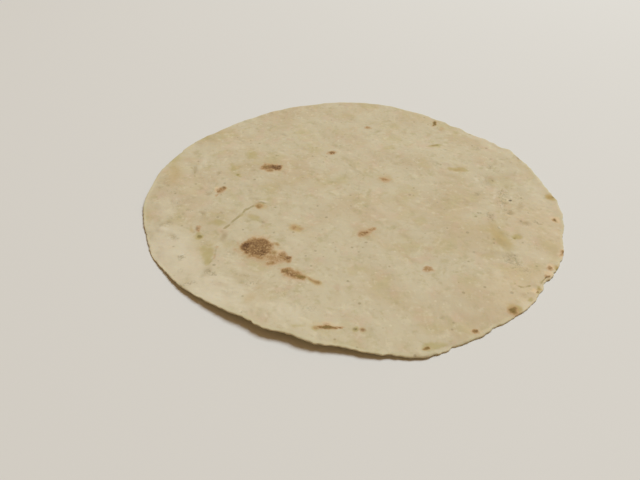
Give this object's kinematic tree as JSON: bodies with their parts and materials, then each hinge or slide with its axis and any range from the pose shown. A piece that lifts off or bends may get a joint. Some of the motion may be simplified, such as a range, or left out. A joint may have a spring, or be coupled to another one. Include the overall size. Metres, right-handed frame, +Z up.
{
  "type": "dal puri flatbread",
  "caption": "Thin round griddled flatbread lying slack on a surface, with a hand-rolled edge that lifts a little in places.",
  "frame": {"origin": "middle of the underside, on the surface that the bread rests on", "axes": "+Z up through the sheet; +X to the right and +Y away, as the bread is seen from its front"},
  "size_m": [0.2715, 0.2759, 0.0053],
  "materials": {
    "griddled_dough": "dry, matt wheat dough, cream buff with small toasted spots"
  },
  "bodies": {
    "root": {"dal_puri": "griddled_dough"}
  },
  "joints": []
}
